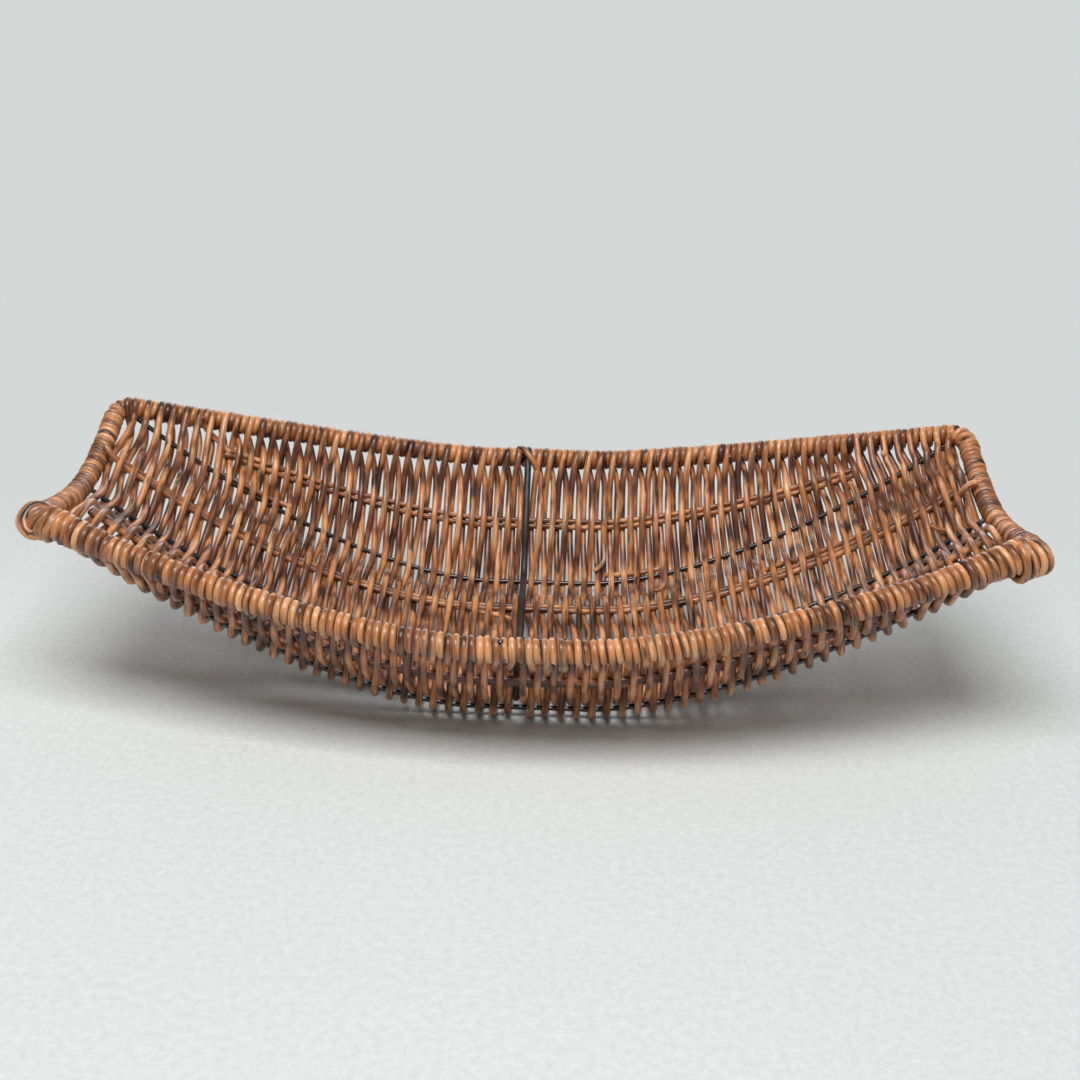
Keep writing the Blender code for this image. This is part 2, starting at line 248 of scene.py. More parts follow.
def colour(red, green, blue):
    """Linear colour of a screen colour given as 0 to 255."""
    def linear(c):
        c /= 255
        return c / 12.92 if c <= 0.04045 else ((c + 0.055) / 1.055) ** 2.4
    return (linear(red), linear(green), linear(blue), 1)


def new_material(name):
    material = bpy.data.materials.new(name)
    material.use_nodes = True
    return material, material.node_tree, material.node_tree.nodes["Principled BSDF"]


def node(tree, kind, inputs=None, **settings):
    """Add a shader node, with its settings and its inputs: a value, or an output to link."""
    n = tree.nodes.new(kind)
    for key, value in settings.items():
        setattr(n, key, value)
    for key, value in (inputs or {}).items():
        if isinstance(value, bpy.types.NodeSocket):
            tree.links.new(value, n.inputs[key])
        else:
            n.inputs[key].default_value = value
    return n


def ramp(tree, value, stops):
    """Colour ramp with the given (place, colour) stops."""
    n = node(tree, "ShaderNodeValToRGB", {"Fac": value})
    while len(n.color_ramp.elements) < len(stops):
        n.color_ramp.elements.new(0.5)
    for element, (place, shade) in zip(n.color_ramp.elements, stops):
        element.position = place
        element.color = shade if len(shade) == 4 else (*shade, 1)
    return n.outputs["Color"]


def iron_look(name, dark, light, smooth, rough, shine):
    """Bent iron wire with its colour between two shades and its roughness between two values."""
    material, tree, shader = new_material(name)
    coords = node(tree, "ShaderNodeTexCoord").outputs["Object"]
    scale_noise = node(tree, "ShaderNodeTexNoise", {"Vector": coords, "Scale": 900.0,
                                                    "Detail": 3.0}).outputs["Fac"]
    wear_noise = node(tree, "ShaderNodeTexNoise", {"Vector": coords, "Scale": 120.0,
                                                   "Detail": 2.0}).outputs["Fac"]
    tree.links.new(ramp(tree, wear_noise, [(0.35, dark), (0.75, light)]),
                   shader.inputs["Base Color"])
    tree.links.new(ramp(tree, scale_noise, [(0.3, (smooth,) * 3), (0.8, (rough,) * 3)]),
                   shader.inputs["Roughness"])
    shader.inputs["Specular IOR Level"].default_value = shine
    bump = node(tree, "ShaderNodeBump", {"Height": scale_noise, "Strength": 0.01,
                                         "Distance": 0.0001})
    tree.links.new(bump.outputs["Normal"], shader.inputs["Normal"])
    return material


iron = iron_look("black_iron", colour(6, 5, 5), colour(16, 13, 12), 0.16, 0.24, 0.9)
worn_iron = iron_look("worn_iron", colour(38, 31, 30), colour(64, 53, 51), 0.38, 0.55, 0.4)

WIRE_SIDES = 12
WIRE_POINTS = 121
WIRE_TONE = 0.5
ring = ring_path()
rod_piece("iron_ring", [(ring, RING_WIRE / 2, WIRE_TONE, True)], iron, ["rim_ring"],
          WIRE_SIDES)
for wire_name, element in (("front_bottom_wire", FRONT_EDGE), ("keel_wire", KEEL),
                           ("back_bottom_wire", BACK_EDGE)):
    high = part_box(wire_name)[1]
    reach = (high.x - FRAME_WIRE / 2) / HALF_LENGTH
    line = lines_at(np.linspace(-reach, reach, WIRE_POINTS))[:, element]
    rod_piece(f"iron_{wire_name}", [(line, FRAME_WIRE / 2, WIRE_TONE, False)], iron,
              [wire_name], WIRE_SIDES)

ROD = 0.0029
PAIR_SPACING = 0.0031
BAR_CLEARANCE = 0.0014
BAR_TIP = 0.0032
HOOK_STEP = 20
FINE_STEP = 0.002
bar_share = CENTRE_BAR_X / HALF_LENGTH
bar_lines = lines_at(bar_share)[0]
bar_normals = normals_at(bar_share)[0]
BAR_HOOK_RADIUS = (RING_WIRE + CENTRE_BAR) / 2
bar_points = [bar_lines[e] + bar_normals[e] * ((ROD + CENTRE_BAR) / 2 + BAR_CLEARANCE)
              for e in range(FRONT_WALL, BACK_RIM)]
# it goes 20 degrees round the ring at the front rim, and is curled 220 degrees at the back
for element, inner, curl in ((FRONT_RIM, FRONT_WALL, 20), (BACK_RIM, BACK_WALL, 220)):
    up = unit(bar_lines[element] - bar_lines[inner])
    out = -bar_normals[element]
    hook = [bar_lines[element] - out * BAR_HOOK_RADIUS * math.cos(a)
            + up * BAR_HOOK_RADIUS * math.sin(a)
            for a in np.radians(np.arange(0, curl + 1, HOOK_STEP))]
    bar_points = bar_points + hook if element == BACK_RIM else hook[::-1] + bar_points
# its front end is bent aside below the ring, and its tip shows on top of the front rim
front_tip = [(-0.0078, -0.0955, 0.0490), (-0.0105, -0.1000, 0.0530), (-0.0122, -0.1045, 0.0590),
             (-0.0126, -0.1070, 0.0607)]
rod_piece("iron_centre_bar",
          [(smooth_line(bar_points, FINE_STEP), CENTRE_BAR / 2, WIRE_TONE, False)],
          worn_iron, ["centre_bar"], WIRE_SIDES)
rod_piece("iron_bar_tip", [(smooth_line(front_tip, FINE_STEP), BAR_TIP / 2, WIRE_TONE, False)],
          iron, [], WIRE_SIDES)


# Lengthwise rods: eight rattan rods in four pairs, which the weave goes over and under. Each
# pair is clamped between the weavers and its ends are cut off behind the last of them.
rattan, tree, shader = new_material("varnished_rattan")
grain = node(tree, "ShaderNodeAttribute", attribute_name="grain").outputs["Vector"]
tone = node(tree, "ShaderNodeAttribute", attribute_name="tone").outputs["Fac"]


def rod_noise(around, along, detail, roughness=0.55):
    """Noise on the surface of a rod, with its scales round the rod and along it."""
    stretched = node(tree, "ShaderNodeMapping", {"Vector": grain,
                                                 "Scale": (around, around, along)})
    return node(tree, "ShaderNodeTexNoise", {"Vector": stretched.outputs["Vector"], "Scale": 1.0,
                                             "Detail": detail, "Roughness": roughness}
                ).outputs["Fac"]


# lighter and darker stretches of stain, moved by the tone of each rod, which on the weavers also
# holds their painted shade in the dives and under the rim turns
patches = rod_noise(90, 48, 2.5)
weighted = node(tree, "ShaderNodeMath", {0: tone, 1: 0.35}, operation="MULTIPLY").outputs[0]
stronger = node(tree, "ShaderNodeMath", {0: patches, 1: 1.4, 2: -0.2},
                operation="MULTIPLY_ADD").outputs[0]
shifted = node(tree, "ShaderNodeMath", {0: stronger, 1: weighted}, operation="ADD").outputs[0]
stained = ramp(tree, shifted,
               [(0.40, colour(96, 56, 35)), (0.54, colour(157, 99, 62)),
                (0.70, colour(204, 135, 85)), (0.90, colour(230, 171, 123))])
# over them mauve patches, burnt patches and fine dark streaks, from nothing at the first place
# of the noise to their full strength at the second
for around, along, detail, roughness, first, last, strength, shade in (
        (210, 42, 2.5, 0.55, 0.50, 0.66, 0.85, colour(88, 50, 35)),
        (230, 55, 2.0, 0.55, 0.56, 0.68, 0.90, colour(36, 18, 11)),
        (520, 34, 3.0, 0.65, 0.55, 0.68, 0.75, colour(36, 18, 11))):
    place = ramp(tree, rod_noise(around, along, detail, roughness),
                 [(first, (0,) * 3), (last, (strength,) * 3)])
    stained = node(tree, "ShaderNodeMix", {"Factor": place, "A": stained, "B": shade},
                   data_type="RGBA").outputs["Result"]
fibres = rod_noise(1500, 60, 2.0)
fine = ramp(tree, fibres, [(0.3, (0.74,) * 3), (0.7, (1.1,) * 3)])
final = node(tree, "ShaderNodeMix", {"Factor": 1.0, "A": stained, "B": fine},
             data_type="RGBA", blend_type="MULTIPLY")
tree.links.new(final.outputs["Result"], shader.inputs["Base Color"])
tree.links.new(ramp(tree, patches, [(0.3, (0.50,) * 3), (0.7, (0.38,) * 3)]),
               shader.inputs["Roughness"])
bump = node(tree, "ShaderNodeBump", {"Height": fibres, "Strength": 0.35, "Distance": 0.00012})
tree.links.new(bump.outputs["Normal"], shader.inputs["Normal"])
shader.inputs["Coat Weight"].default_value = 0.65
shader.inputs["Coat Roughness"].default_value = 0.24
shader.inputs["Specular IOR Level"].default_value = 0.30

ROD_SIDES = 10
random = np.random.default_rng(7)
WALL_ROD_LENGTH = 0.318
BOTTOM_ROD_LENGTH = 0.398
ROD_POINTS = 61
ROD_WAVE = 0.00012
ROD_STEP = 0.003
for pair_name, element, length in (("front_wall_rod", FRONT_WALL, WALL_ROD_LENGTH),
                                   ("front_bottom_rod", FRONT_BOTTOM, BOTTOM_ROD_LENGTH),
                                   ("back_bottom_rod", BACK_BOTTOM, BOTTOM_ROD_LENGTH),
                                   ("back_wall_rod", BACK_WALL, WALL_ROD_LENGTH)):
    for number, side in ((1, -1), (2, 1)):
        limit = length / BASKET_LENGTH
        lines = lines_at(np.linspace(-limit, limit, ROD_POINTS))
        across = unit(lines[:, element + 1] - lines[:, element - 1])
        # a rod isn't quite straight between its ends
        wave = np.cumsum(random.normal(0, ROD_WAVE, ROD_POINTS))
        wave -= np.linspace(wave[0], wave[-1], ROD_POINTS)
        line = lines[:, element] + across * (side * PAIR_SPACING / 2 + wave[:, None] * 0.5)
        # the rods of the front wall get a lower tone: painted shade, as that wall faces down and
        # lies in shade
        rod_piece(f"rattan_{pair_name}_{number}",
                  [(smooth_line(line, ROD_STEP), ROD / 2 * random.uniform(0.96, 1.04),
                    random.uniform(0.1, 0.5) - 0.5 * (element == FRONT_WALL), False)],
                  rattan, [f"{pair_name}_{number}"], ROD_SIDES)


# Weave: rattan rods wound from rim to rim and back, inside and outside of the lengthwise lines in
# turn. At each long rim a rod turns round the ring one and a half times: the strand from the wall
# lies over the ring, and one short wrap fills the place before the next strand.
WEAVER = 0.0034
WIRE_OFFSET = (FRAME_WIRE + WEAVER) / 2
PAIR_OFFSET = (ROD + WEAVER) / 2
WRAP_DEPTH = 0.0041
WRAP_HEIGHT = 0.0037
WRAP_DROP = 0.0006
TURNS = 65
BAR_GAP = 0.0046
FRONT_GAP = 0.0013
BAR_PUSH = 0.0011
# turns counted from the left end to the bar and from the bar to the right end, and the weaver
# groups that they are shared out over
LANE_KNOTS = (0, 31.55, 31.75, TURNS - 0.6)
GROUP_KNOTS = (0, 20, 20, 41)
WEAVE_LIMIT = 0.974
END_SHARE = 0.969
# near a rim a strand turns aside, over this length, to its place in the row of wraps
PARTING = 0.015
PARTING_EXPONENT = 1.3
BAR_PUSH_REACH = 0.006
# the strand on the inside of a line stands this far to the right of its place, the other one as
# far to the left, at these shares of the half length
ZIGZAG_AT = (-0.8, 0, 0.8)
ZIGZAG = (-0.0001, 0.0006, 0.0006)
# how far the hand of the weaver strays: a strand at one line, a whole pass, the height at a line
LINE_SLIP = 0.00018
PASS_SLIP = 0.00014
HEIGHT_SLIP = 0.00008
SLACK_SPREAD = 0.05
MOST_SLACK = 1.06
# painted shade: rods are darkened where they dive between the others and on the sides and
# undersides of their rim turns, and left lighter on the crowns of their bends; this is its strength
PAINTED_SHADE_STRENGTH = 0.6
FRONT_WALL_LEAN = 0.4
# points that a strand is led through: between two lines, and in its one and a half rim turns
POINTS_PER_LINE = 6
TURN_ANGLES = np.radians(np.arange(0, 541, 30))
HALF_TURNS = np.radians([0, 180, 360, 540])
MID_TURN = len(TURN_ANGLES) // 2
WEAVER_STEP = 0.0022
# how far the strands have moved along the basket by each line, in mm: rim, wall rods, edge wire,
# bottom rods and keel, at these shares of the half length
LEAN_AT = [-0.974, -0.9, -0.75, -0.6, -0.45, -0.3, -0.15, 0, 0.15, 0.3, 0.45, 0.6, 0.75, 0.9, 0.974]
LEAN = np.array([[0, 0.0, 0.3, 0.9, 1.2], [0, 0.3, 0.3, 1.6, 1.4],
                 [0, 0.4, -0.7, 0.9, 0.2], [0, -0.1, -1.7, -1.2, -1.7],
                 [0, -0.7, -2.6, -2.3, -2.7], [0, -1.2, -2.8, -2.2, -2.3],
                 [0, -0.6, -1.8, -1.4, -1.2], [0, -0.6, -0.6, -0.5, 0.6],
                 [0, -0.2, 0.7, 0.7, 2.3], [0, 0.1, 2.0, 1.3, 3.1], [0, 0.9, 3.8, 3.3, 4.8],
                 [0, 2.2, 5.9, 5.6, 7.0], [0, 3.3, 7.4, 6.8, 8.0], [0, 1.5, 3.2, 2.8, 3.4],
                 [0, 0.0, -0.3, -0.9, -1.2]]) / 1000
FRONT_LEAN = LEAN[:, :4] * np.array([1, FRONT_WALL_LEAN, FRONT_WALL_LEAN, 0.9])
LEAN = np.concatenate([FRONT_LEAN, LEAN[:, 4:], LEAN[:, 3::-1]], 1)
share_line = np.linspace(-1, 1, 801)
rim_line = lines_at(share_line)[:, FRONT_RIM]
rim_arc = np.r_[0, np.cumsum(np.linalg.norm(np.diff(rim_line, axis=0), axis=1))]
arc_left, arc_bar, arc_right = np.interp([-WEAVE_LIMIT, bar_share, WEAVE_LIMIT], share_line,
                                         rim_arc)


def share_of(lane, gap=BAR_GAP):
    """Share of the half length at a place along the rim, given in turns of the weave."""
    arcs = (arc_left, arc_bar - gap / 2, arc_bar + gap / 2, arc_right)
    return np.interp(np.interp(lane, LANE_KNOTS, arcs), rim_arc, share_line)


def beside_bar(u, amount):
    """The strands next to the bar are pushed aside by it."""
    gap = (u - bar_share) * HALF_LENGTH
    return u + np.sign(gap) * amount * np.exp(-(gap / BAR_PUSH_REACH) ** 2) / HALF_LENGTH


def over_lines(values, spacing, position):
    """Smooth curve over the nine lines: values (n, 9, k) at one position, 0 to 8, for each."""
    slope = np.diff(values, axis=1) / spacing[..., None]
    before, after = spacing[:, :-1, None], spacing[:, 1:, None]
    middle = (slope[:, 1:] * before + slope[:, :-1] * after) / (before + after)
    slope = np.concatenate([slope[:, :1], middle, slope[:, -1:]], 1)
    cell = np.minimum(position.astype(int), 7)
    row = np.arange(len(cell))
    t, h = (position - cell)[:, None], spacing[row, cell][:, None]
    return ((2 * t ** 3 - 3 * t ** 2 + 1) * values[row, cell]
            + (t ** 3 - 2 * t ** 2 + t) * h * slope[row, cell]
            + (3 * t ** 2 - 2 * t ** 3) * values[row, cell + 1]
            + (t ** 3 - t ** 2) * h * slope[row, cell + 1])


def front_growth(u):
    """The wraps of the front rim get bigger towards the corners, most of all on the right."""
    return 1 + np.interp(u, [-0.96, -0.84, 0.80, 0.96], [0.45, 0, 0, 0.53])


def painted_shade_of(crown):
    """Fourth coordinate of the points of a weaver: its painted shade, as a change of tone in mm,
    from none on a crown (1) to the most in a dive (0).
    """
    return PAINTED_SHADE_STRENGTH * (np.clip(crown, 0, 1) - 1) / 1000


def weave_pass(lane, front_lane, back_lane, first_side):
    """Control points of one pass from the front rim, inside (1) or outside (-1) it, to the back."""
    position = np.arange(1, 8 * POINTS_PER_LINE) / POINTS_PER_LINE
    share = share_of(lane)
    steps = np.linalg.norm(np.diff(lines_at(share)[0], axis=0), axis=1)
    gone = np.interp(position, range(9), np.r_[0, np.cumsum(steps)])
    near_front = np.clip(1 - gone / PARTING, 0, 1) ** PARTING_EXPONENT
    near_back = np.clip(1 - (steps.sum() - gone) / PARTING, 0, 1) ** PARTING_EXPONENT
    lanes = lane + near_front * (front_lane - lane) + near_back * (back_lane - lane)
    u = share_of(lanes) * (1 - near_front) + share_of(lanes, FRONT_GAP) * near_front
    even = np.ones((len(u), 8))
    lean = np.stack([np.interp(u, LEAN_AT, LEAN[:, e]) for e in range(9)], 1)
    rods_here = abs(share) * BASKET_LENGTH < WALL_ROD_LENGTH
    side = first_side * np.array([1, -1, 1, -1, 1, -1, 1, -1, 1])
    sideways = random.normal(0, LINE_SLIP, 9) + random.normal(0, PASS_SLIP) \
        + side * np.interp(share, ZIGZAG_AT, ZIGZAG)
    # the crowded passes near the ends stray less
    sideways *= 1 - 0.6 * np.clip((abs(share) - 0.75) / 0.2, 0, 1)
    sideways[[FRONT_RIM, BACK_RIM]] = 0
    if not rods_here:
        sideways[FRONT_WALL] = sideways[FRONT_EDGE] / 2
        sideways[BACK_WALL] = sideways[BACK_EDGE] / 2
    shift = over_lines(lean[..., None] + sideways[None, :, None], even, position)[:, 0]
    limit = np.where((position < 1) | (position > 7), WEAVE_LIMIT, END_SHARE)
    u = beside_bar(u + shift / HALF_LENGTH, BAR_PUSH * np.clip(position - 7, 0, 1))
    u = np.clip(u, -limit, limit)
    lines = lines_at(u)
    spacing = np.linalg.norm(np.diff(lines, axis=1), axis=2)
    centre = over_lines(lines, spacing, position)
    normal = unit(over_lines(normals_at(u), spacing, position))
    size = np.array([WRAP_DEPTH, PAIR_OFFSET, WIRE_OFFSET, PAIR_OFFSET, WIRE_OFFSET,
                     PAIR_OFFSET, WIRE_OFFSET, PAIR_OFFSET, WRAP_DEPTH])
    offsets = side * size + random.normal(0, HEIGHT_SLIP, 9)
    offsets[FRONT_RIM] *= front_growth(share)
    if not rods_here:
        offsets[FRONT_WALL] = (offsets[FRONT_RIM] + offsets[FRONT_EDGE]) / 2
        offsets[BACK_WALL] = (offsets[BACK_RIM] + offsets[BACK_EDGE]) / 2
    cell = np.minimum(position.astype(int), 7)
    blend = (1 - np.cos(math.pi * (position - cell))) / 2
    offset = offsets[cell] * (1 - blend) + offsets[cell + 1] * blend
    # painted shade: 1 on the crown of a bend at a line, down to 0 where the strand dives between
    # two lines
    crown = np.abs(1 - 2 * blend) if rods_here else np.abs(offset) / PAIR_OFFSET
    return np.c_[centre + normal * offset[:, None], painted_shade_of(crown)]


def rim_turn(element, start_lane, lanes, first_side):
    """Control points of one and a half turns round a long rim, from inside (1) or outside (-1)."""
    inner = FRONT_WALL if element == FRONT_RIM else BACK_WALL
    lanes = start_lane + np.interp(TURN_ANGLES, HALF_TURNS, lanes)
    if element == BACK_RIM:
        u = beside_bar(share_of(lanes), BAR_PUSH)
    else:
        u = share_of(lanes, FRONT_GAP)
    lines, normals = lines_at(u), normals_at(u)
    up = unit(lines[:, element] - lines[:, inner])
    grow = front_growth(u) if element == FRONT_RIM else np.ones(len(u))
    slack = np.interp(TURN_ANGLES, HALF_TURNS,
                      np.minimum(random.normal(1, SLACK_SPREAD, 4), MOST_SLACK))
    depth = WRAP_DEPTH * grow * slack * first_side * np.cos(TURN_ANGLES)
    height = WRAP_HEIGHT * grow * slack * np.sin(TURN_ANGLES) - WRAP_DROP * grow ** 2
    points = lines[:, element] + normals[:, element] * depth[:, None] + up * height[:, None]
    # painted shade: a wrap is darker on its sides and darkest on its underside, as if lit from
    # above
    return np.c_[points, painted_shade_of(0.75 + 0.5 * np.sin(TURN_ANGLES))]


groups = {}
group_names = sorted(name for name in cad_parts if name.startswith("weaver_group"))
for k in range(-1, TURNS):
    # up to the back rim, round it, down again beside that pass, and round the front rim; the first
    # and the last rod are half a round
    path = []
    if k >= 0:
        path += [weave_pass(k, k - 0.17, k + 0.25, 1),
                 rim_turn(BACK_RIM, k + 0.25, [0, 0.30, 0.5, 0.75], 1)]
    if k < TURNS - 1:
        path += [weave_pass(k + 1.5, k + 1.53, k + 1.0, -1)[::-1],
                 rim_turn(FRONT_RIM, k + 1.53, [0, -0.14, -0.5, -0.7], -1)]
    first_pass = len(path[0])
    path = np.concatenate(path)
    radius = WEAVER / 2 * random.uniform(0.93, 1.05)
    # a rod is 90 cm or so long, so it is joined, with a change of tone, inside the rim turns
    cuts = [0, first_pass + MID_TURN, len(path) - MID_TURN - 1, len(path)]
    for start, stop in zip(cuts, cuts[1:]):
        if stop > start:
            rod = smooth_line(path[max(0, start - 1):stop], WEAVER_STEP)
            rods = groups.setdefault(group_names[int(np.interp(k, LANE_KNOTS, GROUP_KNOTS))], [])
            # each rod's own random tone, with the painted shade of its fourth coordinate added
            rods.append((rod[:, :3], radius, random.uniform(0.3, 0.95) + rod[:, 3] * 1000, False))
for group_name, rods in groups.items():
    rod_piece(f"weave_{group_name[-2:]}", rods, rattan, [group_name], ROD_SIDES)


# End bindings: one rattan strand wound tightly round each end of the ring, from corner to corner,
# pulled together in small groups. It is a little thinner than the weavers.
BINDING_RADIUS = 0.0035
BINDING_LENGTH = 0.123
BINDING_TILT = 0.0012
BINDING_TILT_SLIP = 0.0006
BINDING_SLIP = 0.0004
BINDING_ROD_SHARE = 0.98
WRAP_STEPS = 18
TURNS_PER_STRAND = 6
# the direction of the ring is taken this far before and behind each place
BESIDE = 0.002


def on_line(place, arc, line):
    """Points of a line at places given as lengths along it."""
    return np.stack([np.interp(place, arc, line[:, i]) for i in range(3)], 1)


for side, end_name, turns, binding_rod in ((-1, "left", 44, 0.0031), (1, "right", 37, 0.0034)):
    line = np.array([end_rim(side, s) for s in np.linspace(-1, 1, RIM_POINTS)])
    arc = np.r_[0, np.cumsum(np.linalg.norm(np.diff(line, axis=0), axis=1))]
    arc -= arc[-1] / 2
    steps = np.arange(turns * WRAP_STEPS + 1) / WRAP_STEPS
    knots = np.arange(turns + 1)
    place = (steps / turns - 0.5) * BINDING_LENGTH \
        + np.interp(steps, knots, random.normal(0, BINDING_SLIP, turns + 1))
    centre = on_line(place, arc, line)
    ahead = unit(on_line(place + BESIDE, arc, line) - on_line(place - BESIDE, arc, line))
    out = np.array([side, 0, 0])
    up = unit(np.cross(out * side, ahead))
    angle = 2 * math.pi * steps
    slack = np.minimum(random.normal(1.01, SLACK_SPREAD, turns + 1), MOST_SLACK)
    reach = BINDING_RADIUS * np.interp(steps, knots, slack)
    tilt = BINDING_TILT + BINDING_TILT_SLIP * np.interp(steps, knots,
                                                        random.normal(0, 1, turns + 1))
    wrap = centre + out * (reach * np.cos(angle))[:, None] \
        + up * (reach * np.sin(angle))[:, None] + ahead * (tilt * np.cos(angle))[:, None]
    rods = []
    for first in range(0, turns, TURNS_PER_STRAND):
        stretch = wrap[first * WRAP_STEPS:(first + TURNS_PER_STRAND) * WRAP_STEPS + 1]
        rods.append((stretch, binding_rod / 2 * BINDING_ROD_SHARE, random.uniform(0.2, 0.7), False))
    rod_piece(f"{end_name}_binding", rods, rattan,
              [f"{end_name}_end_binding"], ROD_SIDES)


# Corner wraps: where the weave ends, its last rods are wound on round the bent corners of the
# ring. At the front corners they are big slack loops side by side, which also hold the ends of the
# edge wires, and at the back corners they are as tight as on the rims.
STRAIGHT_SHARE = 0.55
FIRST_LOOP = 1.28
BESIDE_CORNER = 0.003
# first and last are points of the ring, counted from the left end of the front rim; push is how
# far the loops stand off in the middle of the corner
for corner_name, first, last, wraps, depth, height, drop, push, wobble in (
        ("front_right", 159, 172, 8, 0.0053, 0.0064, 0.0031, 0.0050, 0.06),
        ("back_right", 229, 237, 4, 0.0036, 0.0035, 0.0004, 0, 0.04),
        ("back_left", 399, 406, 4, 0.0036, 0.0035, 0.0004, 0, 0.04),
        ("front_left", 464, 477, 7, 0.0050, 0.0057, 0.0022, 0.0018, 0.06)):
    corner_path = np.take(ring, range(first, last + 1), 0, mode="wrap")
    arc = np.r_[0, np.cumsum(np.linalg.norm(np.diff(corner_path, axis=0), axis=1))]
    steps = np.arange(wraps * WRAP_STEPS + 1) / WRAP_STEPS
    knots = np.arange(wraps + 1)
    place = np.interp(steps, [0, wraps], [arc[0], arc[-1]])
    centre = on_line(place, arc, corner_path)
    ahead = unit(on_line(place + BESIDE_CORNER, arc, corner_path)
                 - on_line(place - BESIDE_CORNER, arc, corner_path))
    if push:
        # the slack loops stay more in line with those of the front rim
        rim_end = ahead[0] if corner_name == "front_right" else ahead[-1]
        ahead = unit(ahead * (1 - STRAIGHT_SHARE) + rim_end * STRAIGHT_SHARE)
    out = unit(np.cross(ahead, [0, 0, 1]))
    up = np.cross(out, ahead)
    angle = 2 * math.pi * steps
    reaches = random.normal(1, wobble, wraps + 1)
    if corner_name == "front_right":
        reaches[1] = FIRST_LOOP
    reach = np.interp(steps, knots, reaches)
    pushed = push * np.sin(math.pi * steps / wraps) ** 2
    wrap = centre + out * (reach * (depth + pushed / 2) * np.cos(angle) + pushed / 2)[:, None] \
        + up * (reach * height * np.sin(angle) - drop)[:, None]
    # two rods, whose ends lie half a turn on, on the inner side
    inner = WRAP_STEPS // 2
    half = wraps // 2 * WRAP_STEPS + inner
    rod_piece(f"{corner_name}_corner_wraps",
              [(wrap[inner:half + 1], WEAVER / 2, random.uniform(0.4, 0.8), False),
               (wrap[half:-inner], WEAVER / 2, random.uniform(0.3, 0.7), False)],
              rattan, [], ROD_SIDES)


# Loose rods: where the weaver rods were joined or left slack, a loop stands off the front left
# corner, a cut end stands up at the back left one, and short ends show on the inside of the weave.
front_left_loop = [
    (-0.2040, -0.0630, 0.0925), (-0.2070, -0.0596, 0.0925), (-0.2102, -0.0590, 0.0938),
    (-0.2138, -0.0610, 0.0944), (-0.2164, -0.0655, 0.0925), (-0.2164, -0.0700, 0.0900),
    (-0.2131, -0.0735, 0.0872), (-0.2092, -0.0738, 0.0858), (-0.2062, -0.0712, 0.0870),
    (-0.2050, -0.0688, 0.0888)]
front_left_strand = [
    (-0.2040, -0.0660, 0.0950), (-0.2085, -0.0640, 0.0960), (-0.2125, -0.0655, 0.0950),
    (-0.2143, -0.0700, 0.0915), (-0.2115, -0.0740, 0.0874), (-0.2082, -0.0722, 0.0876),
    (-0.2062, -0.0695, 0.0892)]
back_left_end = [
    (-0.2040, 0.0672, 0.0955), (-0.2042, 0.0655, 0.0962), (-0.2043, 0.0632, 0.0955),
    (-0.2042, 0.0616, 0.0920), (-0.2036, 0.0612, 0.0870), (-0.2028, 0.0602, 0.0825),
    (-0.2024, 0.0550, 0.0790), (-0.2024, 0.0470, 0.0765)]
rod_piece("loose_corner_rods",
          [(smooth_line(line, FINE_STEP), WEAVER / 2, shade, False)
           for line, shade in ((front_left_loop, 0.6), (front_left_strand, 0.4),
                               (back_left_end, 0.25))],
          rattan, [], ROD_SIDES)


def over_weave(places):
    """Points given as (share of the half length, position over the lines, height inside)."""
    u, position, height = np.array(places, float).T
    lines = lines_at(u)
    spacing = np.linalg.norm(np.diff(lines, axis=1), axis=2)
    centre = over_lines(lines, spacing, position)
    normal = unit(over_lines(normals_at(u), spacing, position))
    return centre + normal * height[:, None]


